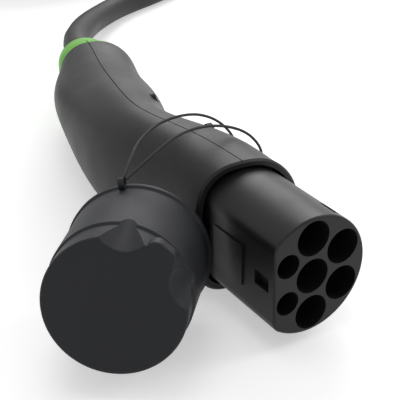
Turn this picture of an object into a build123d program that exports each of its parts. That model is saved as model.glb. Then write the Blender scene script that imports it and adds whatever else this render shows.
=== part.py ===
"""Type 2 vehicle connector for charging an electric car, with its cap on a lanyard and its cable.

The connector lies on its side on a flat surface. +X runs along the nose, out of the mating face, and
the origin is where the nose's axis meets that face. +Z is up, and the nose's flat faces -Y.
The grip follows an S-curve in the XY plane and ends in a coloured ring, where the cable comes out.
"""
from build123d import *
import os
from math import cos, pi, radians, sin, tan

# ---- nose and sockets (mm) ----
NOSE_R = 25.9            # round side of the D-shaped nose
NOSE_FLAT = 18.2         # nose axis to its flat
NOSE_CORNER = 6.5        # corner between the flat and the round side
NOSE_LEN = 47.0          # mating face to the housing's lip
NOSE_TAIL = 19.0         # part of the nose inside the housing
FACE_EDGE = 0.9          # rounding round the mating face
PITCH = 17.0             # socket spacing along a row
ROW_POWER = 14.6         # earth socket to the row of two power sockets
ROW_CONTROL = 11.7       # earth socket to the row of two control sockets
POWER_R = 7.6            # socket radius, power and earth
CONTROL_R = 5.2          # socket radius, control
SOCKET_DEPTH = 42.0
POCKET_LEN = 9.2         # lock pocket, along the nose
POCKET_WIDE = 6.4
POCKET_DEEP = 2.7        # second pocket, below the round side
POCKET_FLAT_DEEP = 2.3   # first pocket, below the flat
POCKET_FRONT = 3.7       # face to pocket
POCKET_TURN = 54.0       # second pocket, degrees from +Y towards +Z
PAD_FRONT = 21.0         # face to the raised pad on the flat
PAD_LEN = 20.0
PAD_WIDE = 19.0
PAD_RISE = 0.6
FLANGE_LEN = 6.0

# ---- contacts ----
PIN_POWER = 6.0          # pin that a power sleeve takes
PIN_CONTROL = 3.0
SLEEVE_CLEAR = 0.1       # sleeve bore over its pin, across the bore
SLEEVE_WALL = 1.6
SLEEVE_WALL_CONTROL = 1.1
SLEEVE_BLIND = 6.0       # pin hole's depth past the socket's floor
SLEEVE_PROUD = 20.0      # sleeve's length that stands in the socket
SLEEVE_BARREL = 12.0     # crimp barrel behind the retainer
CRIMP_DEPTH = 9.0
SLOT_WIDE = 0.8
SLOT_LEN = 12.0
SHOULDER = 1.4           # sleeve's shoulder over its tube
SHOULDER_LEN = 2.0
RETAINER = 3.0
RETAINER_GAP = 2.0       # retainer to the housing's wall
SEAL_LEN = 3.5

# ---- housing ----
WALL = 2.8
SEAM_DEEP = 0.6
SEAM_WIDE = 0.5
LIP_CHAMFER = 0.9
# stations of the grip: x, y, heading, flat-side half width, round-side half width, half height,
# squareness of the flat side
STATIONS = [
    (-NOSE_LEN, 0.0, 180.0, 23.2, 29.8, 30.0, 3.4),
    (-66.0, -1.2, 183.5, 24.4, 30.9, 30.6, 3.0),
    (-90.0, -4.6, 187.0, 24.0, 28.4, 30.8, 2.5),
    (-118.0, -7.6, 176.0, 23.0, 23.6, 29.4, 2.2),
    (-150.0, -2.0, 165.5, 24.8, 24.8, 26.6, 2.1),
    (-183.0, 7.6, 162.5, 26.2, 26.2, 22.2, 2.0),
    (-216.0, 18.4, 163.0, 24.0, 24.0, 18.4, 2.0),
    (-246.0, 27.2, 166.0, 17.0, 17.0, 16.0, 2.0),
]
SECTION_POINTS = 16
SCREW_R = 1.5
SCREW_HEAD_R = 2.8
SCREW_HEAD = 2.4
BOSS_R = 4.0
SCREW_SINK = 3.0         # head below the round side
SCREW_AT = [(-92.0, 23.5), (-92.0, -23.5), (-146.0, 18.5), (-146.0, -18.5)]

# ---- cable end ----
CABLE_R = 8.5
CABLE_CLEAR = 0.3
RING_LEN = 9.0
RING_TIP = 1.6           # ring's taper, on its radius
RING_SPIGOT = 6.0
CLAMP_LEN = 12.0
CLAMP_WIDE = 28.0
CLAMP_HIGH = 18.4
CLAMP_BACK = 27.0        # clamp's rear face from the grip's end
CLAMP_SCREW_R = 1.5
CLAMP_HEAD = 1.4
CLAMP_SPLIT = 0.6
SEAL_RING_LEN = 6.0
SEAL_RING_R = 12.4
WIRE_POWER_R = 2.3
WIRE_CONTROL_R = 0.9
WIRE_CIRCLE = 5.3        # wires round the earth wire, in the cable
JACKET_BACK = 34.0       # end of the cable's jacket from the grip's end

# ---- cap ----
CAP_AT = (-15.7, -78.4, 7.4)       # centre of the closed end's outer face
CAP_HEADING = 140.4                # axis, from the closed end to the open rim
CAP_TILT = -10.0
CAP_LEN = 51.0
CAP_GRIP = 12.0          # solid closed end that the fingers hold
CAP_GRIP_R = 27.4
CAP_STEP = 0.9           # body over the grip
CAP_CLEAR = 0.5          # inside over the nose
CAP_FLOOR = 13.5         # closed end's thickness
CAP_RIM_R = 29.0
CAP_LIP = 0.9            # bead round the rim
CAP_LIP_LEN = 3.0
CAP_EDGE = 1.2
TAB_TURN = 130.0         # finger tab, about the cap's axis
TAB_R = 31.0
TAB_WIDE = 12.0
TAB_THICK = 5.0
SCALLOP_R = 11.0         # finger hollows beside the tab
SCALLOP_OUT = 33.0
SCALLOP_TURN = 32.0
SCALLOP_LEN = 18.0
SCALLOP_TIP = 4.0
EYE_TURN = 79.5          # lanyard eye, about the cap's axis
EYE_R = 2.6
EYE_HOLE_R = 1.1
EYE_THICK = 2.4

# ---- lanyard ----
LANYARD_R = 0.6
ANCHOR_AT = (-86.0, 0.0)           # x and z of the eye on the round side
ANCHOR_R = 3.8
ANCHOR_HOLE_R = 2.0
ANCHOR_OUT = 1.8         # hole's centre off the shell

# ---- cable's stored length and the plug on its far end ----
FLOOR = -31.0            # surface that everything lies on
COIL_AT = (-572.0, 153.0)
COIL_R = 86.0            # middle of the turns
TURNS_ACROSS = 2         # turns side by side in a layer
LAYERS = 4
LAYER_RISE = 0.9         # each layer over the one below, in cable diameters
FAR_AT = (-575.0, -35.0)           # rear of the far plug, which points along +X
FAR_R = 31.0
FAR_LEN = 138.0
FAR_WAIST_R = 21.5
FAR_END_R = 16.0


def section(wf, wr, high, square, inset=0.0):
    """Closed curve of one grip section: squarish on the flat side (+x), elliptical on the round side."""
    pts = []
    for i in range(SECTION_POINTS):
        t = 2 * pi * i / SECTION_POINTS
        c, s = cos(t), sin(t)
        power = 2 / square if c > 0 else 1.0
        wide = (wf if c > 0 else wr) - inset
        x = wide * abs(c) ** power * (1 if c > 0 else -1)
        z = (high - inset) * abs(s) ** (2 / (square if c > 0 else 2.0)) * (1 if s > 0 else -1)
        pts.append((x, z))
    return Face(Wire([Edge.make_spline([Vector(*q) for q in pts], periodic=True)]))


def station_plane(x, y, heading):
    a = radians(heading)
    return Plane(origin=(x, y, 0), x_dir=(-sin(a), cos(a), 0), z_dir=(cos(a), sin(a), 0))


def grip_loft(inset=0.0):
    """Lofted grip, with its surface moved in by inset."""
    faces = []
    for x, y, heading, wf, wr, high, square in STATIONS:
        faces.append(station_plane(x, y, heading) * section(wf, wr, high, square, inset))
    return loft(faces)


def nose_profile(grow=0.0):
    """D-shaped section of the nose in the YZ plane, flat towards -Y."""
    flat = NOSE_FLAT + grow
    radius = NOSE_R + grow
    round_face = Plane.YZ * Circle(radius)
    cutter = Plane.YZ * Pos(-flat - radius, 0) * Rectangle(2 * radius, 3 * radius)
    shape = (round_face - cutter).faces()[0]
    corners = shape.vertices().filter_by_position(Axis.Y, -flat - 0.1, -flat + 0.1)
    return fillet(corners, NOSE_CORNER + grow)


def slab(x_low, x_high):
    return Pos((x_low + x_high) / 2, 0, 0) * Box(x_high - x_low, 120, 120)


def bar(x0, x1, y, z, radius):
    """Round bar along X."""
    return Plane((x0, y, z), z_dir=(1, 0, 0)) * extrude(Circle(radius), x1 - x0)


def save(name, shape):
    export_step(shape, f"parts/{name}.step")


os.makedirs("parts", exist_ok=True)

# ---- housing: two half shells that part along the grip's own curve ----
outer = grip_loft()
inner = grip_loft(WALL)
skin = grip_loft(SEAM_DEEP)
last = STATIONS[-1]
end_plane = station_plane(*last[:3])
bosses = Part()
for bx, bz in SCREW_AT:
    bosses += Plane((bx, -60, bz), z_dir=(0, 1, 0)) * extrude(Circle(BOSS_R), 120)
shell = outer - (inner - bosses)
lip_edges = shell.edges().filter_by_position(Axis.X, -NOSE_LEN - 0.01, -NOSE_LEN + 0.01)
lip_outer = lip_edges.sort_by(SortBy.LENGTH)[-1]
shell = chamfer(lip_outer, LIP_CHAMFER)


def parting(shift, depth=130.0):
    """Block on the flat side of the grip's curve, moved along Y by shift."""
    spine = [Vector(s[0], s[1] + shift) for s in STATIONS]
    front = Vector(10, shift)
    a = radians(last[2])
    rear = spine[-1] + Vector(cos(a), sin(a)) * 20
    curve = Spline(spine, tangents=[Vector(-1, 0), Vector(cos(a), sin(a))])
    outline = [
        Edge.make_line(front, spine[0]),
        curve.edge(),
        Edge.make_line(spine[-1], rear),
        Edge.make_line(rear, Vector(rear.X, -depth)),
        Edge.make_line(Vector(rear.X, -depth), Vector(front.X, -depth)),
        Edge.make_line(Vector(front.X, -depth), front),
    ]
    return Pos(0, 0, -60) * extrude(Face(Wire(outline)), 120, dir=(0, 0, 1))


flat_block = parting(0.0)
groove = (parting(SEAM_WIDE / 2) - parting(-SEAM_WIDE / 2)) - skin
shell = shell - groove
flat_shell = shell & flat_block
round_shell = shell - flat_block
screws = []
for bx, bz in SCREW_AT:
    probe = Plane((bx, -60, bz), z_dir=(0, 1, 0)) * extrude(Circle(SCREW_HEAD_R), 120)
    crown = (probe & outer).bounding_box().max.Y
    head_top = crown - SCREW_SINK
    seat = head_top - SCREW_HEAD
    tip = -16.0
    up = Plane((bx, tip, bz), z_dir=(0, 1, 0))
    shaft = up * extrude(Circle(SCREW_R), seat - tip)
    head = Plane((bx, seat, bz), z_dir=(0, 1, 0)) * extrude(Circle(SCREW_HEAD_R), SCREW_HEAD)
    well = Plane((bx, seat, bz), z_dir=(0, 1, 0)) * extrude(Circle(SCREW_HEAD_R + 0.2), 40)
    hexagon = RegularPolygon(SCREW_HEAD_R * 0.5, 6)
    recess = Plane((bx, head_top, bz), z_dir=(0, -1, 0)) * extrude(hexagon, SCREW_HEAD * 0.6)
    flat_shell = flat_shell - shaft
    round_shell = round_shell - shaft - well
    screws.append(shaft + head - recess)

# ---- nose: the contact carrier ----
carrier = extrude(nose_profile(), -(NOSE_LEN + NOSE_TAIL), dir=(1, 0, 0))
carrier = carrier.solids()[0]
face_edges = carrier.edges().filter_by_position(Axis.X, -0.01, 0.01)
carrier = fillet(face_edges, FACE_EDGE)
flange_back = -(NOSE_LEN + NOSE_TAIL)
flange_front = flange_back + FLANGE_LEN
carrier = carrier + (inner & slab(flange_back, flange_front))
pad_x = -(PAD_FRONT + PAD_LEN / 2)
pad = Pos(pad_x, -NOSE_FLAT, 0) * Box(PAD_LEN, 2 * PAD_RISE, PAD_WIDE)
carrier = carrier + fillet(pad.edges().filter_by(Axis.Y), 1.0)
pocket_x = -(POCKET_FRONT + POCKET_LEN / 2)
pocket = Box(POCKET_LEN, 2 * POCKET_DEEP, POCKET_WIDE)
carrier = carrier - Pos(pocket_x, -NOSE_FLAT + POCKET_FLAT_DEEP - POCKET_DEEP, 0) * pocket
carrier = carrier - Rot(POCKET_TURN, 0, 0) * Pos(pocket_x, NOSE_R, 0) * pocket
sockets = {
    "earth": (0.0, 0.0),
    "neutral": (0.0, PITCH),
    "line_1": (0.0, -PITCH),
    "line_2": (ROW_POWER, PITCH / 2),
    "line_3": (ROW_POWER, -PITCH / 2),
    "proximity": (-ROW_CONTROL, PITCH / 2),
    "pilot": (-ROW_CONTROL, -PITCH / 2),
}
control = ("proximity", "pilot")


def sleeve_size(name):
    small = name in control
    pin_r = ((PIN_CONTROL if small else PIN_POWER) + SLEEVE_CLEAR) / 2
    wall = SLEEVE_WALL_CONTROL if small else SLEEVE_WALL
    return pin_r, pin_r + wall, WIRE_CONTROL_R if small else WIRE_POWER_R


barrel_rear = flange_back - RETAINER - SLEEVE_BARREL


def make_contact(name):
    """Slit sleeve with a shoulder, and a crimp barrel for its wire."""
    pin_r, tube_r, wire_r = sleeve_size(name)
    front = -SOCKET_DEPTH + SLEEVE_PROUD
    body = bar(barrel_rear, front, 0, 0, tube_r)
    body += bar(-SOCKET_DEPTH, -SOCKET_DEPTH + SHOULDER_LEN, 0, 0, tube_r + SHOULDER)
    body -= bar(-SOCKET_DEPTH - SLEEVE_BLIND, front + 1, 0, 0, pin_r)
    body -= bar(barrel_rear - 1, barrel_rear + CRIMP_DEPTH, 0, 0, wire_r)
    slot = Pos(front - SLOT_LEN / 2, 0, 0) * Box(SLOT_LEN, SLOT_WIDE, 3 * tube_r)
    return body - slot - Rot(90, 0, 0) * slot


power_contact = make_contact("earth")
control_contact = make_contact("pilot")
contacts = {}
hollows = []
for name, (sy, sz) in sockets.items():
    kind = control_contact if name in control else power_contact
    contacts[name] = Pos(0, sy, sz) * kind
    bore_r = CONTROL_R if name in control else POWER_R
    hollows.append(bar(-SOCKET_DEPTH, 1, sy, sz, bore_r))
    hollows.append(bar(flange_back - 1, -SOCKET_DEPTH + 1, sy, sz, sleeve_size(name)[1]))
carrier = carrier.cut(*[h.solid() for h in hollows])

# ---- retainer plate and seal behind and round the carrier ----
retainer = grip_loft(WALL + RETAINER_GAP) & slab(flange_back - RETAINER, flange_back)
seal = (inner & slab(flange_front, flange_front + SEAL_LEN))
seal = seal - extrude(nose_profile(0.05), -100, dir=(1, 0, 0))
for name, (sy, sz) in sockets.items():
    retainer = retainer - bar(flange_back - 10, flange_back + 10, sy, sz, sleeve_size(name)[1])

# ---- green ring, cable seal and clamp ----
a_end = radians(last[2])
ring_far = end_plane.offset(RING_LEN)
tip_face = ring_far * Ellipse(last[3] - RING_TIP, last[5] - RING_TIP)
ring_face = end_plane * section(*last[3:7])
ring = loft([ring_face, tip_face])
spigot_r = min(last[3], last[5]) - WALL - 0.1
ring = ring + end_plane * Pos(0, 0, -RING_SPIGOT) * extrude(Circle(spigot_r), RING_SPIGOT)
ring = ring - end_plane * Pos(0, 0, -40) * extrude(Circle(CABLE_R + CABLE_CLEAR), 80)
cable_seal = end_plane * Pos(0, 0, -RING_SPIGOT - SEAL_RING_LEN) * (
    extrude(Circle(SEAL_RING_R), SEAL_RING_LEN) - extrude(Circle(CABLE_R), SEAL_RING_LEN))
clamp_frame = end_plane.offset(-CLAMP_BACK)
clamp_block = clamp_frame * extrude(RectangleRounded(CLAMP_WIDE, CLAMP_HIGH, 4), CLAMP_LEN)
clamp_block = clamp_block - clamp_frame * Pos(0, 0, -5) * extrude(Circle(CABLE_R), CLAMP_LEN + 10)
gap = clamp_frame * extrude(Rectangle(CLAMP_WIDE + 2, CLAMP_SPLIT), CLAMP_LEN)
clamp_block = clamp_block - gap
clamp_screws = []
screw_out = (CABLE_R + CLAMP_WIDE / 2) / 2
for side in (-1, 1):
    spot = clamp_frame * Pos(side * screw_out, 0, CLAMP_LEN / 2)
    place = Location(spot.position)
    rod = place * Pos(0, 0, -CLAMP_HIGH / 2) * extrude(Circle(CLAMP_SCREW_R), CLAMP_HIGH)
    top = place * Pos(0, 0, CLAMP_HIGH / 2) * extrude(Circle(CLAMP_SCREW_R * 1.7), CLAMP_HEAD)
    clamp_block = clamp_block - rod
    clamp_screws.append(rod + top)
saddles = clamp_block.solids().sort_by(Axis.Z)


def cord_path(points, name):
    """Straight runs joined by tangent arcs, each as large as its two runs allow."""
    vecs = [Vector(*q) for q in points]
    radii = []
    for i in range(1, len(vecs) - 1):
        before, after = vecs[i] - vecs[i - 1], vecs[i + 1] - vecs[i]
        turn = radians(before.get_angle(after))
        radii.append(0.45 * min(before.length, after.length) / tan(turn / 2))
    print(name, "radii", [round(r, 1) for r in radii])
    return FilletPolyline(*vecs, radius=radii)


def tube(points, radius, name):
    path = cord_path(points, name)
    start = Plane(path @ 0, z_dir=path % 0)
    body = sweep(start * Circle(radius), path=path)
    print(name, "length", round(path.length, 1), "volume ratio",
          round(body.volume / (pi * radius ** 2 * path.length), 4))
    return body


# ---- cable's stored coil: the outer shape of its layers of turns ----
turn = 2 * CABLE_R
layer_top = FLOOR + turn + (LAYERS - 1) * LAYER_RISE * turn
half_coil = (TURNS_ACROSS + 1) * CABLE_R
coil_bevel = CABLE_R / 2
coil_section = Plane.XZ * Polyline(
    (COIL_R - half_coil, FLOOR), (COIL_R + half_coil, FLOOR),
    (COIL_R + half_coil, layer_top - coil_bevel), (COIL_R + half_coil - coil_bevel, layer_top),
    (COIL_R - half_coil + coil_bevel, layer_top), (COIL_R - half_coil, layer_top - coil_bevel), close=True)
coil = revolve(make_face(coil_section), Axis.Z)
coil = Pos(*COIL_AT, 0) * coil

# ---- cable ----
exit_dir = Vector(cos(a_end), sin(a_end), 0)
LIE = FLOOR + CABLE_R + 0.1
CABLE_POINTS = [
    tuple(end_plane.offset(-JACKET_BACK).origin),
    tuple(end_plane.offset(36).origin),
    (-322.0, 59.0, -8.5),
    (-365.0, 90.0, -18.5),
    (-394.0, 128.0, LIE),
    (-406.0, 168.0, LIE),
    (-428.0, 212.0, LIE),
    (-474.0, 247.0, LIE),
    (-530.0, 262.0, LIE),
    (-585.0, 254.0, LIE),
]
cable = tube(CABLE_POINTS, CABLE_R, "cable") - coil

# ---- far plug, capped, lying beside the coil ----
far_z = FLOOR + FAR_R
far_axis = Plane(origin=(*FAR_AT, far_z), x_dir=(0, 1, 0), z_dir=(1, 0, 0))
FAR_POINTS = [
    (-668.1, 184.2, 23.3), (-676.5, 140.0, 22.5), (-675.5, 92.0, 20.0), (-675.0, 41.1, 12.0),
    (-660.6, 6.2, 5.0), (-633.8, -20.6, 1.0), (-598.9, -35.0, far_z),
    (FAR_AT[0] + RING_LEN + 14, FAR_AT[1], far_z),
]
far_cable = tube(FAR_POINTS, CABLE_R, "far_cable") - coil
far_curve = Spline(
    (FAR_END_R, RING_LEN), (FAR_WAIST_R, RING_LEN + 30), (FAR_WAIST_R + 0.5, RING_LEN + 62),
    (FAR_R - 1.5, FAR_LEN - 22), (FAR_R, FAR_LEN), tangents=[(0.25, 1), (0, 1)])
far_side = far_curve.edge()
far_outline = [
    far_side,
    Edge.make_line((FAR_R, FAR_LEN), (0, FAR_LEN)),
    Edge.make_line((0, FAR_LEN), (0, RING_LEN)),
    Edge.make_line((0, RING_LEN), (FAR_END_R, RING_LEN)),
]
far_body = revolve(Plane.XZ * Face(Wire(far_outline)), Axis.Z)
far_body = far_body - extrude(Circle(CABLE_R), RING_LEN + 14)
far_ring = loft([Circle(FAR_END_R - RING_TIP).face(), Pos(0, 0, RING_LEN) * Circle(FAR_END_R).face()])
far_ring = far_ring - extrude(Circle(CABLE_R), RING_LEN)
far_body = far_axis * far_body
far_ring = far_axis * far_ring


def make_cap(with_eye):
    """Cap on its own axis: z runs from the closed end's face to the open rim."""
    inside = NOSE_R + CAP_CLEAR
    step_r = CAP_GRIP_R + CAP_STEP
    profile = Polyline(
        (0, 0), (CAP_GRIP_R, 0), (CAP_GRIP_R, CAP_GRIP), (step_r, CAP_GRIP + CAP_STEP),
        (CAP_RIM_R, CAP_LEN - CAP_LIP_LEN), (CAP_RIM_R + CAP_LIP, CAP_LEN - CAP_LIP_LEN + CAP_LIP),
        (CAP_RIM_R + CAP_LIP, CAP_LEN), (inside, CAP_LEN), (inside, CAP_FLOOR + 2),
        (inside - 2, CAP_FLOOR), (0, CAP_FLOOR), close=True)
    body = revolve(Plane.XZ * make_face(profile), Axis.Z)
    tab = Pos(TAB_R / 2 + 8, 0, TAB_THICK / 2) * Box(TAB_R - 16, TAB_WIDE, TAB_THICK)
    tab = fillet(tab.edges().filter_by(Axis.Z).group_by(Axis.X)[-1], TAB_WIDE * 0.32)
    body += Rot(0, 0, TAB_TURN) * tab
    for side in (-1, 1):
        hollow = Cone(SCALLOP_R, SCALLOP_TIP, SCALLOP_LEN, align=(Align.CENTER, Align.CENTER, Align.MIN))
        body -= Rot(0, 0, TAB_TURN + side * SCALLOP_TURN) * Pos(SCALLOP_OUT, 0, 0) * hollow
    rim_edge = body.edges().filter_by_position(Axis.Z, -0.01, 0.01)
    body = fillet(rim_edge, CAP_EDGE)
    if not with_eye:
        return body
    eye_x = CAP_RIM_R + CAP_LIP + EYE_R * 0.45
    eye = Rot(90, 0, 0) * Cylinder(EYE_R, EYE_THICK)
    eye = Pos(eye_x, 0, CAP_LEN - EYE_R) * eye - Cylinder(inside + 1, 3 * CAP_LEN)
    body += Rot(0, 0, EYE_TURN) * eye
    hole = Pos(eye_x + 0.4, 0, CAP_LEN - EYE_R) * Rot(90, 0, 0) * Cylinder(EYE_HOLE_R, 3 * EYE_THICK)
    return body - Rot(0, 0, EYE_TURN) * hole


cap_a, cap_t = radians(CAP_HEADING), radians(CAP_TILT)
cap_plane = Plane(origin=CAP_AT, x_dir=(-sin(cap_a), cos(cap_a), 0),
                  z_dir=(cos(cap_a) * cos(cap_t), sin(cap_a) * cos(cap_t), sin(cap_t)))
cap = cap_plane * make_cap(True)
far_cap = Plane(origin=far_axis.from_local_coords(Vector(0, 0, FAR_LEN + CAP_LEN)),
                x_dir=far_axis.x_dir, z_dir=-far_axis.z_dir) * make_cap(False)
far_nose = far_axis * extrude(Circle(NOSE_R), FAR_LEN + CAP_LEN - CAP_FLOOR - 3)
far_body = far_body + (far_nose - far_axis * extrude(Circle(NOSE_R + 1), FAR_LEN - 1))

# ---- wires from the contacts to the cable's end ----
lay_turn = {"neutral": 100, "line_2": 31, "line_3": -31, "line_1": -100, "proximity": 151, "pilot": -151}
wires = {}
stop = end_plane.offset(-JACKET_BACK)
for name, (sy, sz) in sockets.items():
    wire_r = sleeve_size(name)[2]
    a = radians(lay_turn.get(name, 0))
    out = WIRE_CIRCLE if name in lay_turn else 0.0
    tail = stop.origin + stop.x_dir * (-out * cos(a)) + Vector(0, 0, out * sin(a))
    route = [
        (barrel_rear + CRIMP_DEPTH - 0.5, sy, sz),
        (barrel_rear - 12, sy, sz),
        (-134.0, 0.5 * sy - 3.2, 0.52 * sz),
        tuple(tail - exit_dir * 30),
        tuple(tail),
    ]
    wires[name] = tube(route, wire_r, name + "_wire")

# ---- lanyard: one cord from the cap's eye, over the grip, through the anchor and back ----
anchor_probe = Plane((ANCHOR_AT[0], -60, ANCHOR_AT[1]), z_dir=(0, 1, 0)) * extrude(Circle(1), 120)
anchor_y = (anchor_probe & outer).bounding_box().max.Y
hole_y = anchor_y + ANCHOR_OUT
anchor = Pos(ANCHOR_AT[0], hole_y, ANCHOR_AT[1])
anchor_eye = anchor * (Cylinder(ANCHOR_R, EYE_THICK) - Cylinder(ANCHOR_HOLE_R, 3 * EYE_THICK))
anchor_eye = anchor_eye - outer
round_shell = round_shell + anchor_eye
eye_local = Vector(CAP_RIM_R + CAP_LIP + EYE_R * 0.45 + 0.4, 0, CAP_LEN - EYE_R)
eye_local = eye_local.rotate(Axis.Z, EYE_TURN)
eye_at = cap_plane.from_local_coords(eye_local)
LANYARD_POINTS = [
    tuple(eye_at + Vector(-0.4, 1.2, 1.8)), (-67.0, -41.0, 35.0), (-78.0, -31.0, 36.0), (-86.5, -16.0, 37.0),
    (-88.5, 0.0, 36.0), (-91.0, 13.0, 30.0), (-93.5, 24.0, 20.0), (-91.0, 28.5, 9.0),
    (ANCHOR_AT[0] - 0.4, hole_y + 0.6, 3.4), (ANCHOR_AT[0] + 0.3, hole_y + 0.6, -2.8),
    (ANCHOR_AT[0] + 4.0, hole_y + 1.6, -5.4), (-79.0, 31.5, 3.0),
    (-76.0, 31.0, 14.0), (-74.0, 22.0, 26.0), (-72.0, 9.0, 34.0), (-69.0, -6.0, 39.0),
    (-65.0, -20.0, 40.5), (-61.5, -34.0, 37.0), tuple(eye_at + Vector(1.0, 1.6, 1.6)),
]
lanyard = tube(LANYARD_POINTS, LANYARD_R, "lanyard") - cap

save("flat_side_shell", flat_shell)
save("round_side_shell", round_shell)
save("contact_carrier", carrier)
save("contact_retainer", retainer)
save("nose_seal", seal)
save("housing_screws", Compound(screws))
save("green_ring", ring)
save("cable_seal", cable_seal)
save("clamp_saddle_lower", saddles[0])
save("clamp_saddle_upper", saddles[-1])
save("clamp_screws", Compound(clamp_screws))
for name in sockets:
    save(f"{name}_contact", contacts[name])
    save(f"{name}_wire", wires[name])
save("nose_cap", cap)
save("cap_lanyard", lanyard)
save("cable", cable)
save("cable_coil", coil)
save("far_cable", far_cable)
save("far_plug_housing", far_body)
save("far_plug_ring", far_ring)
save("far_plug_cap", far_cap)
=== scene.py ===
"""Type 2 charging connector lying on its side, its cap off on a lanyard and its cable wound away."""
import bpy
import numpy as np
from mathutils import Matrix, Vector


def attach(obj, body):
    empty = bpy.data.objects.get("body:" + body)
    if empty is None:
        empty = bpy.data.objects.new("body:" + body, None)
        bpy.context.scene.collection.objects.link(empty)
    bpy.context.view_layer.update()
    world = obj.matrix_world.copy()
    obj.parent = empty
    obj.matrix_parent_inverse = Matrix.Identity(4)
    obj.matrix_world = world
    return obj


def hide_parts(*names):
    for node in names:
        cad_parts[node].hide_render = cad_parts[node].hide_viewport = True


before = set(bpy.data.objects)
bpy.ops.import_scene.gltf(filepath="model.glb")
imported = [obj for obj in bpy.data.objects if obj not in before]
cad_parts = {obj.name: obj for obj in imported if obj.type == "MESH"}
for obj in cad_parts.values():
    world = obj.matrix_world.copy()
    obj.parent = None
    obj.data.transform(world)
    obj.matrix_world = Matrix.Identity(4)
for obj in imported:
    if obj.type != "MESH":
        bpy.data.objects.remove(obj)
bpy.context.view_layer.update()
scene = bpy.context.scene
scene.view_settings.view_transform = "Standard"
MM = 0.001

# ---- camera: in the connector's own frame, whose origin is on its mating face ----
CAMERA_AT = (246.727, -202.859, 215.024)     # mm
CAMERA_TURN = -31.743                        # degrees, from +X towards +Y
CAMERA_RISE = 29.608
CAMERA_ROLL = -1.468
CAMERA_LENS = 88.63                          # mm on a 36 mm sensor


def aimed_camera():
    """Camera whose back points along the direction that turn and rise give, rolled about it."""
    turn, rise, roll = np.radians([CAMERA_TURN, CAMERA_RISE, CAMERA_ROLL])
    back = np.array([np.cos(turn) * np.cos(rise), np.sin(turn) * np.cos(rise), np.sin(rise)])
    right = np.array([-np.sin(turn), np.cos(turn), 0.0])
    up = np.cross(back, right)
    rolled_right = np.cos(roll) * right + np.sin(roll) * up
    rolled_up = -np.sin(roll) * right + np.cos(roll) * up
    grid = np.eye(4)
    grid[:3, 0], grid[:3, 1], grid[:3, 2] = rolled_right, rolled_up, back
    grid[:3, 3] = np.array(CAMERA_AT) * MM
    data = bpy.data.cameras.new("camera")
    data.sensor_width = 36
    data.lens = CAMERA_LENS
    data.clip_start = 0.01
    data.clip_end = 20
    eye = bpy.data.objects.new("camera", data)
    eye.matrix_world = Matrix(grid.tolist())
    scene.collection.objects.link(eye)
    scene.camera = eye


aimed_camera()

# ---- materials ----
RING_AT = (-246.0, 27.2, 0.0)                # mm, middle of the plane where the green ring meets the housing
RING_AXIS = (-0.970296, 0.241922, 0.0)       # out of the housing, square to that plane
BAND_WIDE = 6.0                              # mm of the shells that are coloured as the ring is


def linear(hex_colour, alpha=1.0):
    """sRGB hex value as linear red, green, blue, alpha."""
    value = np.array([int(hex_colour[i:i + 2], 16) for i in (1, 3, 5)]) / 255
    low = value / 12.92
    high = ((value + 0.055) / 1.055) ** 2.4
    return (*np.where(value <= 0.04045, low, high).tolist(), alpha)


def add(tree, kind, inputs=None, **settings):
    """Adds a node with its settings, and gives its inputs their values or links."""
    made = tree.nodes.new(kind)
    for name, value in settings.items():
        setattr(made, name, value)
    for name, value in (inputs or {}).items():
        if isinstance(value, bpy.types.NodeSocket):
            tree.links.new(value, made.inputs[name])
        else:
            made.inputs[name].default_value = value
    return made


def finish_of(name, dark, light, rough, patch_mm, grain_mm, grain_deep_mm, rough_spread=0.05,
              metallic=0.0, specular=0.5, end_band=None):
    """Surface whose colour drifts between two values over patches, with a fine grain in its height.
    end_band is a colour that it takes from BAND_WIDE inside the ring's plane outwards."""
    made = bpy.data.materials.new(name)
    made.use_nodes = True
    tree = made.node_tree
    tree.nodes.clear()
    place = add(tree, "ShaderNodeTexCoord").outputs["Object"]
    patch = add(tree, "ShaderNodeTexNoise", {"Vector": place, "Scale": 1 / (patch_mm * MM), "Detail": 4.0,
                                             "Roughness": 0.55}).outputs["Fac"]
    tone = add(tree, "ShaderNodeMix", {"Factor": patch}, data_type="RGBA")
    tone.inputs[6].default_value = linear(dark)
    tone.inputs[7].default_value = linear(light)
    colour = tone.outputs[2]
    if end_band:
        away = add(tree, "ShaderNodeVectorMath", {0: place, 1: tuple(MM * v for v in RING_AT)},
                   operation="SUBTRACT").outputs[0]
        along = add(tree, "ShaderNodeVectorMath", {0: away, 1: RING_AXIS},
                    operation="DOT_PRODUCT").outputs["Value"]
        in_band = add(tree, "ShaderNodeMath", {0: along, 1: -BAND_WIDE * MM},
                      operation="GREATER_THAN").outputs[0]
        banded = add(tree, "ShaderNodeMix", {"Factor": in_band}, data_type="RGBA")
        tree.links.new(colour, banded.inputs[6])
        banded.inputs[7].default_value = linear(end_band)
        colour = banded.outputs[2]
    gloss = add(tree, "ShaderNodeMapRange", {"Value": patch, "From Min": 0.3, "From Max": 0.7,
                                             "To Min": rough - rough_spread, "To Max": rough + rough_spread})
    grain = add(tree, "ShaderNodeTexNoise", {"Vector": place, "Scale": 1 / (grain_mm * MM), "Detail": 3.0,
                                             "Roughness": 0.6}).outputs["Fac"]
    bump = add(tree, "ShaderNodeBump", {"Height": grain, "Distance": grain_deep_mm * MM, "Strength": 1.0})
    values = {"Base Color": colour, "Roughness": gloss.outputs["Result"],
              "Normal": bump.outputs["Normal"], "Metallic": metallic, "Specular IOR Level": specular}
    surface = add(tree, "ShaderNodeBsdfPrincipled", values)
    add(tree, "ShaderNodeOutputMaterial", {"Surface": surface.outputs["BSDF"]})
    return made


# glass-filled nylon, moulded against a spark-eroded tool: an even satin black that greys towards the light
housing_nylon = finish_of("housing_nylon_satin_moulded", "#151516", "#191919", 0.46, 26, 0.55, 0.035,
                          specular=0.26)
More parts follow.
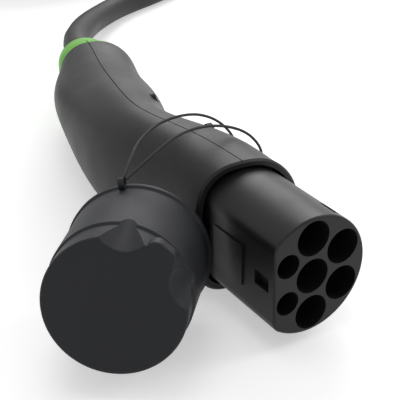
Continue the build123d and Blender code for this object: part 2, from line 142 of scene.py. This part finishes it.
# the same nylon on the two shells, with their cable end coloured green to make the ring's band look wider
shell_nylon = finish_of("shell_nylon_with_green_end", "#151516", "#191919", 0.46, 26, 0.55, 0.035,
                        specular=0.26, end_band="#72c142")
# the same nylon from a smoother tool: the nose has a slightly tighter shine than the housing
nose_nylon = finish_of("nose_nylon_smooth_moulded", "#131314", "#171718", 0.40, 18, 0.40, 0.015,
                       specular=0.26)
# soft thermoplastic rubber: dull, a little bluer and greyer than the nylon
cap_rubber = finish_of("cap_soft_rubber_moulded", "#1d1e21", "#222327", 0.55, 22, 0.45, 0.030,
                       specular=0.24)
# extruded polyurethane jacket: dull black with a faint long drift in its shine
cable_jacket = finish_of("cable_polyurethane_extruded", "#232122", "#2b292a", 0.52, 30, 0.80, 0.050,
                         specular=0.30)
seal_rubber = finish_of("seal_silicone_rubber", "#222222", "#2b2b2b", 0.60, 8, 0.30, 0.020)
# pigmented polypropylene, moulded: a clean yellow-green with a low shine
ring_polypropylene = finish_of("ring_green_polypropylene", "#66b93a", "#7cc84c", 0.40, 9, 0.35, 0.015)
# braided polyester cord: the grain is drawn at the braid's 0.5 mm pitch
lanyard_polyester = finish_of("lanyard_braided_polyester", "#141314", "#262425", 0.70, 1.4, 0.5, 0.10)
# silver plate on copper alloy, lightly tarnished, so its shine is uneven
contact_silver = finish_of("contact_silver_plated", "#b9b5aa", "#d3d0c8", 0.30, 3, 0.2, 0.004, metallic=1.0)
# black zinc plate on steel: near black, with a fine rolled grain
screw_black_zinc = finish_of("screw_black_zinc_steel", "#1c1c1d", "#262627", 0.45, 2, 0.2, 0.004,
                             metallic=1.0)
WIRE_COLOURS = {
    "earth": ("#4f8f34", "#a9a93a"), "neutral": ("#234f95", "#2b60ad"), "line_1": ("#553420", "#6a432a"),
    "line_2": ("#161616", "#1e1e1e"), "line_3": ("#77787a", "#87888a"), "proximity": ("#c9c9c5", "#dcdcd8"),
    "pilot": ("#c9c9c5", "#dcdcd8"),
}

NODE_FINISHES = {
    housing_nylon: ["far_plug_housing"],
    shell_nylon: ["flat_side_shell", "round_side_shell"],
    nose_nylon: ["contact_carrier", "contact_retainer", "clamp_saddle_lower", "clamp_saddle_upper"],
    cap_rubber: ["nose_cap", "far_plug_cap"],
    seal_rubber: ["nose_seal", "cable_seal"],
    ring_polypropylene: ["green_ring", "far_plug_ring"],
    screw_black_zinc: ["housing_screws", "clamp_screws"],
    contact_silver: [f"{name}_contact" for name in WIRE_COLOURS],
}


def cover(node_object, finish):
    """Gives a whole piece one finish."""
    node_object.data.materials.clear()
    node_object.data.materials.append(finish)


for finish, names in NODE_FINISHES.items():
    for name in names:
        cover(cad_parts[name], finish)
for name, (dark, light) in WIRE_COLOURS.items():
    # extruded PVC insulation in the wire's own colour, with a soft shine
    insulation = finish_of(f"{name}_wire_pvc_insulation", dark, light, 0.35, 5, 0.3, 0.010)
    cover(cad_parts[f"{name}_wire"], insulation)

# ---- cords ----
CABLE_R = 8.5
LIE = -22.4                                  # middle of a cable that lies on the surface
COIL_AT = np.array([-572.0, 153.0])
COIL_IN, COIL_OUT = 69.0, 102.5              # innermost and outermost turn's radius
COIL_START, COIL_END = 100, 360 * 8 + 165    # degrees, from +X towards +Y
POINTS_A_TURN = 20
LAYER_STEP = 15.3                            # each layer's middle above the one below
LAYERS = 4
LAYER_TURNS = 2.0
STEP_PART = 0.11                             # share of a layer over which it climbs to the next


def cord_curve(name, points_mm, radius_mm, finish, smooth):
    """Round cord whose line is one smooth NURBS spline with these points as its control points."""
    points = np.array(points_mm, float) * MM
    data = bpy.data.curves.new(name, "CURVE")
    data.dimensions = "3D"
    spline = data.splines.new("NURBS")
    spline.points.add(len(points) - 1)
    spline.points.foreach_set("co", np.c_[points, np.ones(len(points))].ravel())
    spline.order_u = 3
    spline.use_endpoint_u = True
    data.resolution_u = smooth
    data.bevel_depth = radius_mm * MM
    data.bevel_resolution = 5
    data.use_fill_caps = True
    data.materials.append(finish)
    made = bpy.data.objects.new(name, data)
    scene.collection.objects.link(made)
    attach(made, "root")
    return made


def coil_turns(start_degrees, end_degrees):
    """Wound layers about the coil's middle: the radius runs in and out between the innermost and the
    outermost turn, one way in each layer, and the height climbs smoothly by one step between layers."""
    count = int(round((end_degrees - start_degrees) / 360 * POINTS_A_TURN))
    angle = np.linspace(start_degrees, end_degrees, count)
    layer = (angle - start_degrees) / (360 * LAYER_TURNS)
    swing = np.abs((layer + 1) % 2 - 1)      # 0 at the outside, 1 at the inside
    # a spline cuts inside its points by this share of their radius
    radius = (COIL_OUT + (COIL_IN - COIL_OUT) * swing) / np.cos(np.pi / POINTS_A_TURN)
    near = np.round(layer)
    ramp = np.clip((layer - near) / STEP_PART + 0.5, 0, 1)
    ramp = ramp * ramp * (3 - 2 * ramp)
    top = LAYERS - 1
    height = LIE + LAYER_STEP * np.where(near < 1, 0, np.where(near > top, top, near - 1 + ramp))
    turn = np.radians(angle)
    return np.c_[COIL_AT[0] + radius * np.cos(turn), COIL_AT[1] + radius * np.sin(turn), height]


CABLE_ROUTE = [(-254.73, 29.38, 0.0), (-280.93, 35.91, 0.0), (-322.0, 59.0, -8.5), (-365.0, 90.0, -18.5),
               (-394.0, 128.0, LIE), (-406.0, 168.0, LIE), (-428.0, 212.0, LIE), (-474.0, 247.0, LIE),
               (-530.0, 262.0, LIE)]
FAR_ROUTE = [(-676.5, 140.0, 22.5), (-675.5, 92.0, 20.0), (-675.0, 41.1, 12.0), (-660.6, 6.2, 5.0),
             (-633.8, -20.6, 1.0), (-598.9, -35.0, 0.0), (-572.0, -35.0, 0.0)]
cable = cord_curve("charging_cable", np.vstack([CABLE_ROUTE, coil_turns(COIL_START, COIL_END), FAR_ROUTE]),
                   CABLE_R, cable_jacket, 6)
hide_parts("cable", "cable_coil", "far_cable")

EYE = np.array([-60.222, -49.011, 29.468])   # lanyard's hole in the cap's rim
ANCHOR_X, ANCHOR_Y = -86.0, 28.48            # lanyard's hole behind the housing
LANYARD_R = 0.6
LANYARD_ROUTE = [
    EYE + (-0.4, 1.2, 1.8), (-67.0, -41.0, 35.0), (-78.0, -31.0, 36.0), (-86.5, -16.0, 37.0),
    (-88.5, 0.0, 36.0), (-91.0, 13.0, 30.0), (-93.5, 24.0, 20.0), (-91.0, 28.5, 9.0),
    (ANCHOR_X - 0.4, ANCHOR_Y + 0.6, 3.4), (ANCHOR_X + 0.3, ANCHOR_Y + 0.6, -2.8),
    (ANCHOR_X + 4.0, ANCHOR_Y + 1.6, -5.4), (-79.0, 31.5, 3.0),
    (-76.0, 31.0, 14.0), (-74.0, 22.0, 26.0), (-72.0, 9.0, 34.0), (-69.0, -6.0, 39.0),
    (-65.0, -20.0, 40.5), (-61.5, -34.0, 37.0), EYE + (1.0, 1.6, 1.6)]
lanyard = cord_curve("cap_lanyard_cord", LANYARD_ROUTE, LANYARD_R, lanyard_polyester, 8)
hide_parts("cap_lanyard")

# ---- floor, backdrop and lights ----
FLOOR_Z = -31.05         # mm, just under the lowest solid
FLOOR_HALF = 6.0         # metres
FLOOR_WHITE = 0.45       # what the lit paper lacks of white
ROOM_LIGHT = 0.45
LAMPS_AIM = (-0.1, 0.0, 0.0)                 # metres
# name, place in metres, diameter in metres, watts
LAMPS = [
    ("back_softbox", (-1.0, 0.75, 0.75), 0.9, 7.0),
    ("right_softbox", (0.35, 0.95, 0.75), 0.5, 2.4),
    ("overhead_softbox", (-0.15, -0.1, 1.2), 0.6, 1.6),
]


def seen_directly(tree):
    """1 for what the camera, a reflection or clear material sees, 0 for the light on the object."""
    ray = add(tree, "ShaderNodeLightPath").outputs
    seen = add(tree, "ShaderNodeMath", {0: ray["Is Camera Ray"], 1: ray["Is Glossy Ray"]},
               operation="MAXIMUM")
    seen = add(tree, "ShaderNodeMath", {0: seen.outputs[0], 1: ray["Is Transmission Ray"]},
               operation="MAXIMUM")
    return seen.outputs[0]


def studio():
    """Pale floor and a white room, with soft lamps behind, to the right and overhead."""
    sheet = bpy.data.meshes.new("floor")
    half, low = FLOOR_HALF, FLOOR_Z * MM
    sheet.from_pydata([(-half, -half, low), (half, -half, low), (half, half, low), (-half, half, low)], [],
                      [(0, 1, 2, 3)])
    floor = bpy.data.objects.new("floor", sheet)
    scene.collection.objects.link(floor)
    paper = bpy.data.materials.new("floor_white_paper")
    paper.use_nodes = True
    tree = paper.node_tree
    tree.nodes.clear()
    place = add(tree, "ShaderNodeTexCoord").outputs["Object"]
    fibre = add(tree, "ShaderNodeTexNoise", {"Vector": place, "Scale": 900.0, "Detail": 3.0})
    bump = add(tree, "ShaderNodeBump", {"Height": fibre.outputs["Fac"], "Distance": 0.00002})
    white = add(tree, "ShaderNodeBsdfDiffuse", {"Color": linear("#f4f4f4"), "Normal": bump.outputs["Normal"]})
    glow = add(tree, "ShaderNodeEmission", {"Color": linear("#ffffff"), "Strength": FLOOR_WHITE})
    both = add(tree, "ShaderNodeAddShader", {0: white.outputs[0], 1: glow.outputs[0]})
    seen = seen_directly(tree)
    floor_mix = add(tree, "ShaderNodeMixShader", {0: seen, 1: white.outputs[0], 2: both.outputs[0]})
    add(tree, "ShaderNodeOutputMaterial", {"Surface": floor_mix.outputs[0]})
    sheet.materials.append(paper)

    world = bpy.data.worlds.new("studio")
    scene.world = world
    world.use_nodes = True
    tree = world.node_tree
    tree.nodes.clear()
    seen = seen_directly(tree)
    room = add(tree, "ShaderNodeBackground", {"Color": linear("#ffffff"), "Strength": ROOM_LIGHT})
    backdrop = add(tree, "ShaderNodeBackground", {"Color": linear("#ffffff"), "Strength": 1.0})
    mixed = add(tree, "ShaderNodeMixShader", {0: seen, 1: room.outputs[0], 2: backdrop.outputs[0]})
    add(tree, "ShaderNodeOutputWorld", {"Surface": mixed.outputs[0]})

    for name, spot, size, power in LAMPS:
        data = bpy.data.lights.new(name, "AREA")
        data.shape = "DISK"
        data.size = size
        data.energy = power
        lamp = bpy.data.objects.new(name, data)
        spot = Vector(spot)
        aim = Vector(LAMPS_AIM) - spot
        lamp.matrix_world = Matrix.Translation(spot) @ aim.to_track_quat("-Z", "Y").to_matrix().to_4x4()
        scene.collection.objects.link(lamp)


studio()
